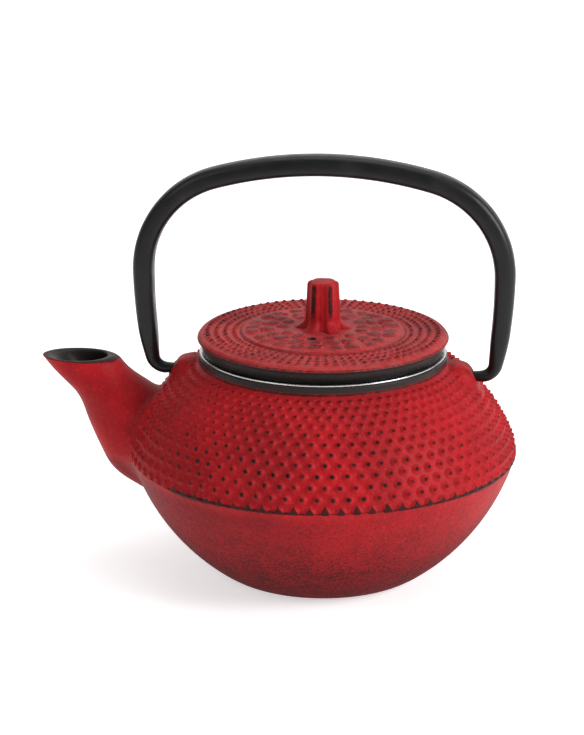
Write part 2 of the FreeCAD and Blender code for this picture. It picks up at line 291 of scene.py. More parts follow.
def lug_level(p):
    """Below zero inside a lug, which is a rounded block that leans outward."""
    leaning = np.abs(p[..., 0]) + LUG_LEAN * (p[..., 2] - PIVOT_Z)
    scaled = [np.abs((leaning if i == 0 else p[..., i]) - LUG_CENTRE[i]) / LUG_HALF[i]
              for i in range(3)]
    return (sum(s ** LUG_POWER for s in scaled) ** (1 / LUG_POWER) - 1) * LUG_HALF[1]


def gradient(field, p, step=0.02):
    """Slope of a field at points, along each axis."""
    out = []
    for i in range(3):
        offset = np.zeros(3)
        offset[i] = step
        out.append((field(p + offset) - field(p - offset)) / (2 * step))
    return np.stack(out, -1)


def as_distance(level, p):
    """Nearly the distance to where a level is zero."""
    slope = np.linalg.norm(gradient(level, p), axis=-1)
    return level(p) / np.maximum(slope, 0.2)


def soft_union(a, b, softness):
    """Distance to two forms with a fillet between them."""
    share = np.maximum(softness - np.abs(a - b), 0) / softness
    return np.minimum(a, b) - share * share * softness / 4


def skin(p):
    """Distance to the outside of the pot: bowl, shoulder, spout and lugs, softly joined."""
    under, beside, above = SPOUT_BLEND
    z = p[..., 2]
    softness = (under + (beside - under) * smoothstep(z, 27, 38)
                + (above - beside) * smoothstep(z, 48, 56))
    with_spout = soft_union(body_distance(p), as_distance(spout_level, p), softness)
    clear_of_neck = smoothstep(np.hypot(p[..., 0], p[..., 1]), NECK_R + 0.4, NECK_R + 2.6)
    return soft_union(with_spout, as_distance(lug_level, p), 0.05 + LUG_BLEND * clear_of_neck)


def onto_skin(p, rounds=5):
    """Moves points onto the pot's skin, along its slope."""
    for _ in range(rounds):
        slope = gradient(skin, p)
        size = np.maximum((slope ** 2).sum(-1, keepdims=True), 0.05)
        p = p - skin(p)[..., None] * slope / size
    return p


def keep_faces(faces, hidden):
    """Faces with at least one corner that isn't hidden."""
    return faces[~hidden.reshape(-1)[faces].all(axis=1)]


# ---- pot ----
def pot_outside(shell):
    """Base, bowl, overhanging edge of the seam and shoulder, swelling into spout and lugs."""
    corner = rounded([(0, 0, 0), (BASE_FLAT_R + 2.2, 0, 5.0), (*BOWL_START, 0)], 6)
    bowl = arc_run(BOWL, BOWL_START[1] + 0.8, SEAM_Z - SEAM_STEP, 40)
    shoulder = np.concatenate([arc_run(SHOULDER, SEAM_Z, SEAM_Z + 1.5, 6)[:-1],
                               arc_run(SHOULDER, SEAM_Z + 1.5, NECK_FOOT_Z - 1.0, 46)])
    lip = np.array([(bowl[-1][0] + 0.05, SEAM_Z - 0.5), (shoulder[0][0] + 0.22, SEAM_Z - 0.35),
                    (shoulder[0][0] + 0.28, SEAM_Z + 0.1)])
    profile = np.concatenate([corner, bowl, lip, shoulder])
    points = turn_profile(profile, COLUMNS)
    skin_rows = slice(len(corner) + 2, len(profile))
    lip_rows = slice(len(corner) + len(bowl), len(corner) + len(bowl) + len(lip))
    turned_lip = points[lip_rows].copy()
    points[skin_rows] = onto_skin(points[skin_rows])
    # the seam's edge stays sharp, except where the spout grows out of it
    away = smoothstep(as_distance(spout_level, turned_lip), 1.0, 7.0)[..., None]
    points[lip_rows] = points[lip_rows] * (1 - away) + turned_lip * away
    inside = as_distance(spout_level, points) < BURIED
    inside |= as_distance(lug_level, points) < BURIED
    inside[: len(corner)] = False
    points[..., 2] = np.maximum(points[..., 2], 0)
    # painted shade under the seam's overhang, with wear
    rub = SEAM_SHADE_AND_WEAR * seam_band(points)
    shell.add(points, keep_faces(grid_faces(len(profile), COLUMNS), inside), rub)


def away_from_spout(points):
    """One over most of the pot, falling to zero on the spout's side."""
    return smoothstep(points[..., 0], -50.0, -37.0)


def seam_band(points):
    """Painted shade and wear of the ground seam: a dark band that swells and thins, and ends near
    the spout.
    """
    around = np.arctan2(points[..., 1], points[..., 0])
    thick = 0.45 + 0.42 * np.sin(4 * around + SEAM_PHASE) + 0.13 * np.sin(11 * around + 1.0)
    width = 0.2 + 0.75 * np.clip(thick, 0, 1) ** 1.5
    return np.exp(-((points[..., 2] - SEAM_Z + 0.1) / width) ** 2) * away_from_spout(points)


def pot_neck_and_cavity(shell):
    """Neck rim, black inside from its top, and the inside of the pot down to its floor."""
    start = arc_run(SHOULDER, NECK_FOOT_Z - 1.0, NECK_FOOT_Z - 1.0, 1)[0]
    neck_low_z = SHOULDER[1] + math.sqrt((SHOULDER[2] - WALL) ** 2
                                         - (NECK_BORE_R - SHOULDER[0]) ** 2)
    neck = rounded([
        (*start, 0), (NECK_R, NECK_FOOT_Z - 0.1, 0.8), (NECK_R, 67.5, 0), (NECK_R, 68.0, 0),
        (NECK_R, NECK_TOP_Z, 0.7),
        (NECK_BORE_R, NECK_TOP_Z, 0.7), (NECK_BORE_R, neck_low_z, 0),
    ])
    shoulder = arc_run(INNER_SHOULDER, neck_low_z, SEAM_Z, 22)
    bowl = arc_run((BOWL[0], BOWL[1], BOWL[2] - WALL), SEAM_Z, FLOOR_Z + 2.0, 22)
    floor = rounded([(*bowl[-1], 0), (bowl[-1][0] - 2.8, FLOOR_Z, 3.0), (0, FLOOR_Z, 0)], 5)
    rub = 0.6 * np.exp(-((neck[:, 1] - NECK_FOOT_Z - 0.2) / 0.5) ** 2)
    coat = np.maximum(smoothstep(neck[:, 1], 66.5, 67.9), neck[:, 0] < NECK_BORE_R + 0.4)
    lathe(shell, neck, COLUMNS, rub, coat)
    cavity = np.concatenate([neck[-1:], shoulder, bowl, floor])
    points = turn_profile(cavity, CAVITY_COLUMNS)
    in_channel = spout_level(points) < -channel_wall(points[..., 2])[1] - 0.4
    in_channel &= points[..., 2] > CHANNEL_LOW_Z
    faces = keep_faces(grid_faces(len(cavity), CAVITY_COLUMNS), in_channel)
    shell.add(points, faces, coat=1.0)


def channel_wall(z):
    """Thickness of the spout's wall at a height, at its ends and at its sides."""
    share = np.clip((MOUTH_Z - z) / (MOUTH_Z - CHANNEL_LOW_Z), 0, 1)
    return [m + (r - m) * share for m, r in zip(MOUTH_WALL, ROOT_WALL)]


def spout_ring(z, end_wall, side_wall):
    """Ring of points around the spout; z is one height, or one for each point."""
    angles = round_angles(SPOUT_SIDES)
    z = np.broadcast_to(np.asarray(z, float), angles.shape)
    ends = spout_course(z)
    middle, half_length = (ends[:, 0] + ends[:, 1]) / 2, (ends[:, 1] - ends[:, 0]) / 2 - end_wall
    return np.stack([middle + half_length * np.cos(angles),
                     (ends[:, 2] - side_wall) * np.sin(angles), z], -1)


# rim of the mouth: wall taken off at ends and sides, drop on the side of the pot and at
# the tip, worn share, black share
RIM = (
    (0.0, 0.0, 1.25, 0.15, 0.28, 0.0),
    (0.45, 0.3, 0.62, 0.02, 0.7, 0.1),
    (1.2, 0.75, 0.22, 0.05, 0.8, 0.45),
    (2.2, 1.25, 0.05, 0.3, 0.3, 0.9),
    (3.0, 1.7, 0.1, 0.65, 0.0, 1.0),
    (3.45, 2.0, 0.35, 1.0, 0.0, 1.0),
    (3.7, 2.2, 0.9, 1.7, 0.0, 1.0),
)


def spout(shell):
    """Outside of the spout, its rim, and the channel down to the pot's inside."""
    low = SPOUT_STATIONS[0, 0]
    potward = 0.5 + 0.5 * np.cos(round_angles(SPOUT_SIDES))
    top = MOUTH_Z - RIM[0][2] * potward - RIM[0][3] * (1 - potward)
    ways = np.linspace(0, 1, SPOUT_ROWS)
    points = np.stack([spout_ring(low + (top - low) * t, 0, 0) for t in ways])
    moved = onto_skin(points)
    free = smoothstep(points[..., 2], MOUTH_Z - 8.0, MOUTH_Z - 3.0)[..., None]
    points = moved * (1 - free) + points * free
    from_body = body_distance(points)
    # painted shade, with dark flecks, in the crease at the spout's root
    root = smoothstep(from_body, 9.0, 2.0) * smoothstep(points[..., 2], 40, 46)
    faces = keep_faces(grid_faces(SPOUT_ROWS, SPOUT_SIDES), from_body < BURIED)
    shell.add(points, faces, ROOT_SHADE_AND_FLECKS * root)
    rings = [spout_ring(MOUTH_Z - drop_in * potward - drop_tip * (1 - potward), end_wall, side_wall)
             for end_wall, side_wall, drop_in, drop_tip, _, _ in RIM]
    channel = np.linspace(MOUTH_Z - 2.6, CHANNEL_LOW_Z, 34)
    rings += [spout_ring(z, *channel_wall(z)) for z in channel]
    rub = np.repeat([step[4] for step in RIM] + [0.0] * len(channel), SPOUT_SIDES)
    coat = np.repeat([step[5] for step in RIM] + [1.0] * len(channel), SPOUT_SIDES)
    points = np.stack(rings)
    cavity_r = arc_radius(INNER_SHOULDER, np.maximum(points[..., 2], SEAM_Z))
    cavity = np.hypot(points[..., 0], points[..., 1]) < cavity_r - 0.5
    shell.add(points, keep_faces(grid_faces(len(rings), SPOUT_SIDES), cavity), rub, coat)
    floor = points[-1]
    fan = [(i, (i + 1) % SPOUT_SIDES, SPOUT_SIDES) for i in range(SPOUT_SIDES)]
    shell.add(np.vstack([floor, floor.mean(axis=0)]), fan, coat=1.0)


def lugs(shell):
    """Two ears with the mouths of their pin bores."""
    u = np.linspace(-math.pi / 2, math.pi / 2, LUG_GRID[0])[:, None]
    v = round_angles(LUG_GRID[1])[None, :]
    level, rise, across, along = (signed_power(value, LUG_POWER)
                                  for value in (np.cos(u), np.sin(u), np.cos(v), np.sin(v)))
    shape = [level * across, level * along, rise * np.ones_like(v)]
    right = np.stack([LUG_CENTRE[i] + LUG_HALF[i] * shape[i] for i in range(3)], -1)
    right[..., 0] -= LUG_LEAN * (right[..., 2] - PIVOT_Z)
    for side in (-1, 1):
        points = onto_skin(right * np.array([side, 1, 1]))
        faces = keep_faces(grid_faces(*LUG_GRID), body_distance(points) < BURIED)
        edge = (smoothstep(np.abs(points[..., 0]), 42.6, 44.6)
                * smoothstep(points[..., 2], 62.2, 64.5))
        shell.add(points, faces if side > 0 else faces[:, ::-1], edge * LUG_WEAR)
        bore_mouth(shell, side)


def bore_mouth(shell, side):
    """Dark chamfered ring where the bail's pin enters the lug."""
    angles = round_angles(BORE_SIDES)[None, :]
    face_x = LUG_CENTRE[0] + LUG_HALF[0]
    radius = np.array([BORE_R + 0.7, BORE_R + 0.4, BORE_R + 0.1, BORE_R])[:, None]
    inset = np.array([-0.35, 0.05, 0.03, -1.5])[:, None]
    rise = radius * np.sin(angles)
    points = np.stack([side * (face_x + inset - LUG_LEAN * rise), radius * np.cos(angles),
                       PIVOT_Z + rise], -1)
    faces = grid_faces(4, BORE_SIDES)
    rub = np.repeat([0.4, 0.9, 1.0, 1.0], BORE_SIDES)
    coat = np.repeat([0, 0, 0.4, 1.0], BORE_SIDES)
    shell.add(points, faces if side < 0 else faces[:, ::-1], rub, coat)


def studs(shell, centre, normal, width, height, wear, tip, sharp, grid, settle=None, trim=None):
    """Small rounded cones on points of a surface, each a grid of sides and rings.

    They are worn within tip of their middles, as a share of their width. settle moves the
    points of their feet onto the surface, into which the outermost ring is sunk, and trim
    grinds them off. A high sharp gives thin cones, and a low one round domes.
    """
    sides, rings = grid
    count = len(centre)
    ring_r = np.linspace(0.5, 0, rings + 1)[:-1]
    rise = np.append((1 - smoothstep(ring_r, 0.0, 0.5)) ** sharp, 1.0)
    rise[0] = -0.04
    along = np.cross([0, 0.02, 1], normal)  # the 0.02 keeps it from vanishing on the lid
    along /= np.linalg.norm(along, axis=-1, keepdims=True)
    up = np.cross(normal, along)
    turn = round_angles(sides)
    radius = width[:, None, None] * ring_r[None, :, None]
    feet = (centre[:, None, None] + along[:, None, None] * (radius * np.cos(turn))[..., None]
            + up[:, None, None] * (radius * np.sin(turn))[..., None])
    feet = np.concatenate([feet.reshape(count, -1, 3), centre[:, None]], axis=1)
    if settle is not None:
        feet = settle(feet, 2)
    share = np.append(np.repeat(rise[:-1], sides), 1.0)
    sunk = np.append(np.repeat(np.r_[0.07, np.zeros(rings - 1)], sides), 0.0)
    points = feet + normal[:, None] * (share * height[:, None] - sunk)[..., None]
    from_middle = np.append(np.repeat(ring_r, sides), 0.0)
    tip = np.reshape(tip, (-1, 1))
    rub = (1 - smoothstep(from_middle, tip - 0.1, tip + 0.08)) * wear[:, None]
    if trim is not None:
        points, rub = trim(points, rub)
    offsets = (np.arange(count) * (rings * sides + 1))[:, None, None]
    last = (rings - 1) * sides
    caps = np.array([(last + i, last + (i + 1) % sides, rings * sides) for i in range(sides)])
    tris = (caps[None] + offsets).reshape(-1, 3) + shell.count
    shell.add(points, (grid_faces(rings, sides)[None] + offsets).reshape(-1, 4), rub)
    shell.faces += tris.tolist()


def grind_off(points, rub):
    """The lowest row, ground off flush along the seam, with dark, uneven teeth: painted shadow of
    the studs over the step, and bare iron where they are ground.
    """
    rho = np.hypot(points[..., 0], points[..., 1])
    points[..., :2] *= np.where(rho > TOOTH_R, TOOTH_R / rho, 1.0)[..., None]
    points[..., 2] = np.maximum(points[..., 2], SEAM_Z - 0.3)
    around = np.arctan2(points[..., 1], points[..., 0])
    middle = around[:, -1:]
    aside = np.abs(np.angle(np.exp(1j * (around - middle)))) * TOOTH_R
    tall = 2.1 + 0.3 * np.sin(37 * middle) - 0.35 * np.sin(4 * middle + SEAM_PHASE)
    climb = np.clip((points[..., 2] - SEAM_Z) / tall, 0, 1)
    tooth = smoothstep(1.7 * (1 - climb) ** 1.2 - aside, -0.15, 0.3) * away_from_spout(points)
    return points, SEAM_SHADE_AND_WEAR * np.maximum(tooth, seam_band(points))


def hobnails(shell):
    """Staggered rows of hobnails over the shoulder, fading towards spout and lugs."""
    rng = np.random.default_rng(SEED)
    gaps = np.linspace(*ROW_GAP, HOBNAIL_ROWS - 1)
    start = math.asin((HOBNAIL_LOW_Z - SHOULDER[1]) / SHOULDER[2])
    rises = start + np.concatenate([[0], np.cumsum(gaps)]) / SHOULDER[2]
    for row, rise in enumerate(rises):
        place = np.arange(HOBNAILS) + 0.5 * (row % 2) + HOBNAIL_PHASE
        angle = place * 2 * math.pi / HOBNAILS + rng.normal(0, 0.0016, HOBNAILS)
        radius = SHOULDER[0] + SHOULDER[2] * math.cos(rise)
        height = SHOULDER[1] + SHOULDER[2] * math.sin(rise) + rng.normal(0, 0.05, HOBNAILS)
        centre = polar(radius, angle, height)
        free = smoothstep(as_distance(spout_level, centre), 0.0, 4.5)
        free *= smoothstep(as_distance(lug_level, centre), 0.2, 2.2)
        chosen = free > 0.1
        centre, free = onto_skin(centre[chosen]), free[chosen]
        normal = gradient(skin, centre)
        normal /= np.linalg.norm(normal, axis=-1, keepdims=True)
        pitch = 2 * math.pi * radius / HOBNAILS
        count = len(centre)
        tall = pitch * 0.3 * free * rng.uniform(0.92, 1.06, count)
        wide = pitch * (0.68 + 0.22 * free)
        wear = rng.uniform(0.6, 1.0, count) * (0.3 + 0.7 * free)
        # painted shade and light on their worn tips: the darkening spreads wide and faint near the
        # spout, and fades on the right and high up, where the light falls
        clear = smoothstep(centre[:, 0], -46.0, -24.0)
        tip = 0.29 - 0.10 * clear
        wear *= 0.42 + 0.58 * clear
        wear *= 1 - 0.4 * smoothstep(centre[:, 0], 16.0, 42.0)
        wear *= 1 - 0.3 * smoothstep(centre[:, 2], 50.0, 63.0)
        grid, trim = (HOBNAIL_GRID, None) if row else (TOOTH_GRID, grind_off)
        studs(shell, centre, normal, wide, tall, wear, tip, HOBNAIL_SHARP, grid, onto_skin, trim)


def make_pot():
    shell = Shell()
    pot_outside(shell)
    pot_neck_and_cavity(shell)
    spout(shell)
    lugs(shell)
    hobnails(shell)
    return shell.make("pot_casting", 50)


# ---- lid ----
LIP_TOP_Z = 75.1
LIP_LOW_Z = 73.2
STEP_R = 25.0
STEP_TOP_Z = 75.9
BOSS_R = 9.5
BOSS_Z = 76.5
LID_UNDER_Z = 71.2
COLLAR_R, COLLAR_IN_R = 32.4, 29.8
VENT = (-2.3, -12.2, 1.3)  # place and radius of the steam hole
VENT_OUT = 12.4  # its distance from the axis
VENT_SIDES = 28
LID_STUDS = 78  # in a ring
LID_STUD_RINGS = (35.1, 32.4, 29.7, 27.0)
LID_COLUMNS, RELIEF_COLUMNS = 252, 420
PLATE_R = LID_R - 2.4  # where the lip's edge meets the plate
# rings of the relief: radius, how many, and their size
PETAL_RINGS = ((21.2, 24, 2.95), (16.5, 18, 2.8), (12.3, 13, 2.3), (18.9, 17, 0.9))
RELIEF_H = 0.7


def plate_z(r):
    """Height of the lid's outer plate, which rises slightly inward."""
    return LIP_TOP_Z + 0.03 + 0.17 * (LID_R - r) / (LID_R - STEP_R)


def dome_z(r):
    """Height of the lid's raised middle."""
    return STEP_TOP_Z + (BOSS_Z - STEP_TOP_Z) * (STEP_R - r) / (STEP_R - BOSS_R)


def petals(x, y):
    """Height share of a generic relief of crowded, flat-topped petals and small buds."""
    rng = np.random.default_rng(SEED + 4)
    height = np.zeros_like(x)
    for ring_r, count, size in PETAL_RINGS:
        for i in range(count):
            a = (i + rng.uniform(-0.22, 0.22)) * 2 * math.pi / count + ring_r
            r = ring_r + rng.uniform(-0.6, 0.6)
            spin, length = rng.uniform(0, math.pi), size * rng.uniform(0.8, 1.05)
            dx, dy = x - r * math.cos(a), y - r * math.sin(a)
            along = (dx * math.cos(spin) + dy * math.sin(spin)) / length
            across = (dy * math.cos(spin) - dx * math.sin(spin)) / (0.8 * length)
            reach = along ** 2 + across ** 2
            mound = np.clip(1 - reach ** 1.6, 0, 1) ** 0.6 * rng.uniform(0.7, 1.0)
            crease = 1 - 0.5 * np.exp(-(across / 0.12) ** 2) * (along > 0) * (i % 2)
            height = np.maximum(height, mound * crease)
    return height


def open_round(points, faces, x, y, radius):
    """Opens a round hole in a level grid, by moving the points near its edge onto it."""
    flat = points.reshape(-1, 3).copy()
    away = flat[:, :2] - (x, y)
    distance = np.hypot(away[:, 0], away[:, 1])
    near = (distance > 0.72 * radius) & (distance < 1.12 * radius)
    flat[near, :2] = (x, y) + away[near] / distance[near][:, None] * radius
    gone = distance <= 0.72 * radius
    return flat, faces[~gone[faces].any(axis=1)]


def lid_top(shell):
    """Raised middle with its relief, opened for the vent, and the boss under the knob."""
    radii = np.linspace(STEP_R - 0.5, BOSS_R, 72)
    angles = round_angles(RELIEF_COLUMNS)
    x, y = radii[:, None] * np.cos(angles), radii[:, None] * np.sin(angles)
    edge = smoothstep(radii, STEP_R - 0.6, STEP_R - 1.8)
    relief = petals(x, y) * smoothstep(radii, BOSS_R, BOSS_R + 1.5)[:, None]
    clear = smoothstep(np.hypot(x - VENT[0], y - VENT[1]), VENT[2] + 0.1, VENT[2] + 1.2)
    relief = relief * edge[:, None] * clear
    z = dome_z(radii)[:, None] + RELIEF_H * relief
    faces = grid_faces(len(radii), RELIEF_COLUMNS)
    points, faces = open_round(np.stack([x, y, z], -1), faces, *VENT)
    shell.add(points, faces, smoothstep(relief, 0.25, 0.7) * 0.42)
    boss = np.array([(BOSS_R, BOSS_Z), (BOSS_R - 4.0, BOSS_Z + 0.1), (0, BOSS_Z + 0.1)])
    lathe(shell, boss, RELIEF_COLUMNS)


def vent(shell):
    """Wall of the steam hole, with a worn rim."""
    turn = round_angles(VENT_SIDES)[None, :]
    radius = VENT[2] + np.array([0.28, 0.12, 0.0, 0.0])[:, None]
    top = dome_z(VENT_OUT)
    z = np.array([top - 0.02, top + 0.05, top - 0.1, LID_UNDER_Z - 0.02])[:, None] + 0 * turn
    points = np.stack([VENT[0] + radius * np.cos(turn), VENT[1] + radius * np.sin(turn), z], -1)
    rub = np.repeat([0.2, 0.8, 1, 1], VENT_SIDES)
    coat = np.repeat([0, 0, 1, 1], VENT_SIDES)
    shell.add(points, grid_faces(4, VENT_SIDES), rub, coat)


def make_lid():
    shell = Shell()
    edge = rounded([
        (PLATE_R, LIP_TOP_Z + 0.03, 0), (LID_R - 0.9, LIP_TOP_Z, 0.6),
        (LID_R, LIP_LOW_Z + 0.75, 0.5), (LID_R - 0.1, LIP_LOW_Z + 0.35, 0.25),
        (LID_R - 0.7, LIP_LOW_Z, 0.35), (36.6, LID_SEAT_Z, 0.25), (COLLAR_R, LID_SEAT_Z, 0.2),
        (COLLAR_R, LID_COLLAR_LOW_Z, 0.5), (COLLAR_IN_R, LID_COLLAR_LOW_Z, 0.5),
        (COLLAR_IN_R, LID_UNDER_Z, 0.8), (COLLAR_IN_R - 2.0, LID_UNDER_Z, 0),
    ])
    black = 1 - smoothstep(edge[:, 1], LIP_LOW_Z + 0.55, LIP_LOW_Z + 0.8)
    # below the lip both terms add up past one, where the coat paints it near-black: painted shadow
    black += 1 - smoothstep(edge[:, 1], LID_SEAT_Z + 1.2, LIP_LOW_Z - 0.1)
    lip_rub = np.exp(-((edge[:, 1] - LIP_LOW_Z - 0.95) / 0.35) ** 2) * 0.5
    lathe(shell, edge[::-1], LID_COLUMNS, lip_rub[::-1], black[::-1])
    plate_r = np.linspace(PLATE_R, STEP_R + 0.5, 12)
    plate = np.stack([plate_r, plate_z(plate_r)], -1)
    foot_z = plate[-1, 1]
    step = np.array([(STEP_R + 0.2, foot_z - 0.12), (STEP_R - 0.1, foot_z + 0.1),
                     (STEP_R - 0.5, STEP_TOP_Z + 0.02)])
    top = np.concatenate([plate, step])
    lathe(shell, top, RELIEF_COLUMNS, np.r_[np.zeros(len(plate)), 0.5, 0.35, 0.25])
    lid_top(shell)
    vent(shell)
    under_r = np.linspace(0.05, COLLAR_IN_R - 2.0, 70)
    under = polar(under_r[:, None], round_angles(LID_COLUMNS), LID_UNDER_Z)
    points, faces = open_round(under, grid_faces(len(under_r), LID_COLUMNS), *VENT)
    shell.add(points, faces, coat=1.0)
    centre, width, height, wear = [], [], [], []
    rng = np.random.default_rng(SEED + 2)
    for ring in LID_STUD_RINGS:
        a = round_angles(LID_STUDS) + rng.normal(0, 0.002, LID_STUDS)
        centre.append(polar(ring, a, plate_z(ring)))
        width.append(np.full(LID_STUDS, 2 * math.pi * ring / LID_STUDS))
        height.append(rng.uniform(0.74, 0.86, LID_STUDS) * ring / LID_STUD_RINGS[0])
        wear.append(rng.uniform(0.34, 0.56, LID_STUDS))
    centre = np.concatenate(centre)
    normal = np.broadcast_to([0.0, 0.0, 1.0], centre.shape)
    studs(shell, centre, normal, np.concatenate(width), np.concatenate(height),
          np.concatenate(wear), 0.33, 1.0, (10, 8))
    return shell.make("lid_casting", 42)


# ---- knob ----
KNOB_RIDGES = 6
KNOB_TOP_R, KNOB_LOW_R, KNOB_FLARE_R = 4.75, 5.5, 8.9
KNOB_FLARE_H = 3.4
KNOB_GROOVE = 0.62  # depth between the ridges at the root
KNOB_COLUMNS = 144
TANG_R, RIVET_R = 2.5, 4.2


def make_knob():
    """Column with broad ridges that run out into petals at its root, and its riveted tang."""
    shell = Shell()
    angles = round_angles(KNOB_COLUMNS)
    crest = 0.5 - 0.5 * np.cos(KNOB_RIDGES * (angles - math.pi / 2))
    ridge = smoothstep(crest, 0.05, 0.8)
    top, low = KNOB_TOP_Z, BOSS_Z
    z = np.concatenate([low + np.array([0, 0.25, 0.6, 1.0, 1.5, 2.1, 2.8, 3.6]),
                        np.linspace(low + 4.6, top - 1.1, 16)])
    share = (z - low) / (top - low)
    column_r = KNOB_LOW_R + (KNOB_TOP_R - KNOB_LOW_R) * share
    flare = np.clip(1 - (z - low) / KNOB_FLARE_H, 0, 1) ** 2.2
    deep = KNOB_GROOVE * (1 - 0.3 * share)
    r = (column_r[:, None] - deep[:, None] * (1 - ridge)
         + flare[:, None] * (1.0 + (KNOB_FLARE_R - KNOB_LOW_R - 1.0) * ridge))
    # rounded top: share of the last radius, and height from the top
    cap_r = np.array([0.985, 0.93, 0.82, 0.7, 0.4, 0.02])[:, None] * r[-1]
    cap_z = np.array([-0.75, -0.38, -0.14, -0.04, 0.0, 0.0])[:, None]
    points = np.concatenate([polar(r, angles, z[:, None]), polar(cap_r, angles, top + cap_z)])
    along = np.r_[smoothstep(z, low + 1.2, low + 7.0), [0.7, 0.35, 0.1, 0, 0, 0]]
    rub = along[:, None] * crest ** 3 * 0.7
    root = np.exp(-((points[..., 2] - low - 0.4) / 0.5) ** 2) * 0.35
    shell.add(points, grid_faces(len(points), KNOB_COLUMNS), rub + root)
    tang = rounded([(0, KNOB_LOW_Z, 0), (RIVET_R - 0.4, KNOB_LOW_Z, 1.0), (RIVET_R, LID_UNDER_Z, 0),
                    (TANG_R, LID_UNDER_Z, 0), (TANG_R, BOSS_Z, 0)])
    lathe(shell, tang, 48, coat=1.0)
    return shell.make("lid_knob_casting", 40)


# ---- bail ----
PIN_R, PIN_END_X = 1.5, 41.0
FOOT_BEND_R = 4.4
BAIL_HALF_SPAN, BAIL_WIDEST_Z, BAIL_CORNER_R, BAIL_LEG_R = 54.8, 93.5, 30.0, 170.0
BAIL_THICK = 6.4
BAIL_SIDES = 40
FOOT_R = 1.8
FOOT_START = 7.0  # way along the centreline to where the pin ends
FOOT_TAPER, LEG_TAPER = 16.0, 34.0


def bail_course():
    """Right half of the centreline, pin to crown, as rows of x, z and direction."""
    corner_x = BAIL_HALF_SPAN - BAIL_CORNER_R
    rise = BAIL_TOP_Z - BAIL_THICK / 2 - BAIL_WIDEST_Z
    crown_r = (corner_x ** 2 + rise ** 2 - BAIL_CORNER_R ** 2) / (2 * (rise - BAIL_CORNER_R))
    crown_z = BAIL_WIDEST_Z + rise - crown_r
    corner_end = math.atan2(BAIL_WIDEST_Z - crown_z, corner_x)
    leg_x = BAIL_HALF_SPAN - BAIL_LEG_R
    leg_low = math.asin((PIVOT_Z + FOOT_BEND_R - BAIL_WIDEST_Z) / (BAIL_LEG_R - FOOT_BEND_R))
    bend_x = leg_x + (BAIL_LEG_R - FOOT_BEND_R) * math.cos(leg_low)
    rows = [(x, PIVOT_Z, 0.0) for x in np.linspace(PIN_END_X + 0.4, bend_x, 7)[:-1]]
    for cx, cz, radius, start, end, count in (
            (bend_x, PIVOT_Z + FOOT_BEND_R, FOOT_BEND_R, -math.pi / 2, leg_low, 12),
            (leg_x, BAIL_WIDEST_Z, BAIL_LEG_R, leg_low, 0.0, 26),
            (corner_x, BAIL_WIDEST_Z, BAIL_CORNER_R, 0.0, corner_end, 32),
            (0.0, crown_z, crown_r, corner_end, math.pi / 2, 22)):
        for a in np.linspace(start, end, count + 1)[:-1]:
            rows.append((cx + radius * math.cos(a), cz + radius * math.sin(a), a + math.pi / 2))
    rows.append((0.0, crown_z + crown_r, math.pi))
    return np.array(rows)


def make_bail():
    """Bar that grows out of its thin pins; its outer face is slightly narrower than the inner."""
    shell = Shell()
    half = bail_course()
    steps = np.hypot(*np.diff(half[:, :2], axis=0).T)
    way = np.r_[0, np.cumsum(steps)] - FOOT_START
    fast = smoothstep(way, 0.0, FOOT_TAPER)
    slow = np.clip(way / LEG_TAPER, 0, 1)
    foot = PIN_R + (FOOT_R - PIN_R) * smoothstep(way, -2.5, 1.0)
    half_t = foot + (BAIL_THICK / 2 - FOOT_R) * (0.6 * fast + 0.4 * slow)
    half_d = foot + (BAIL_HALF_DEPTH - FOOT_R) * (0.8 * fast + 0.2 * slow)
    turn = round_angles(BAIL_SIDES)
    power = 2 + 1.1 * fast[:, None]
    c, s = signed_power(np.cos(turn), power), signed_power(np.sin(turn), power)
    taper = 1 - 0.1 * fast[:, None] * c
    outward = np.stack([-np.sin(half[:, 2] + math.pi), np.cos(half[:, 2] + math.pi)], -1)
    x = half[:, 0:1] + outward[:, 0:1] * half_t[:, None] * c
    z = half[:, 1:2] + outward[:, 1:2] * half_t[:, None] * c
    y = half_d[:, None] * s * taper
    right = np.stack([x, y, z], -1)
    left = right * np.array([-1, 1, 1])
    points = np.concatenate([right, left[-2::-1]])
    shell.add(points, grid_faces(len(points), BAIL_SIDES))
    cap = [(BAIL_SIDES, (i + 1) % BAIL_SIDES, i) for i in range(BAIL_SIDES)]
    for end, side in ((right[0], 1), (left[0], -1)):
        centre = end.mean(axis=0) - np.array([0.4 * side, 0, 0])
        shell.add(np.vstack([end, centre]), [f[::side] for f in cap])
    return shell.make("bail_bar", 55)


# ---- infuser ----
SHEET_T = 0.5
MESH_R = INFUSER_R - SHEET_T
COLLAR_LOW_Z, WALL_TOP_Z = 61.0, 64.0
FOOT_RING_H, FOOT_LIP = 4.0, 2.0
WALL_CELLS, WALL_ROWS = 120, 17
MESH_LOW_Z, MESH_TOP_Z = 37.2, 60.9
FLOOR_CELLS, FLOOR_PITCH = 44, 1.36
WALL_HOLE, FLOOR_HOLE = 0.28, 0.27  # radius, as a share of a cell


def make_infuser_rim():
    shell = Shell()
    low, high = NECK_TOP_Z + 0.02, LID_SEAT_Z - 0.02
    profile = rounded([
        (MESH_R, COLLAR_LOW_Z, 0), (INFUSER_R, COLLAR_LOW_Z, 0.2), (INFUSER_R, low, 0.25),
        (FLANGE_R, low, 0.28), (FLANGE_R, high, 0.28), (MESH_R, high, 0.35),
        (MESH_R, COLLAR_LOW_Z, 0),
    ], 5)
    lathe(shell, profile, 220)
    return shell.make("infuser_rim_pressing", 60)


def make_infuser_foot_ring():
    shell = Shell()
    low, high, inner_r = INFUSER_LOW_Z, INFUSER_LOW_Z + FOOT_RING_H, MESH_R - FOOT_LIP
    profile = rounded([
        (inner_r, low + SHEET_T, 0), (inner_r, low, 0.15), (INFUSER_R, low, 0.7),
        (INFUSER_R, high, 0.2), (MESH_R, high, 0.2), (MESH_R, low + SHEET_T, 0.2),
        (inner_r, low + SHEET_T, 0),
    ], 4)
    lathe(shell, profile, 200)
    return shell.make("infuser_foot_pressing", 60)


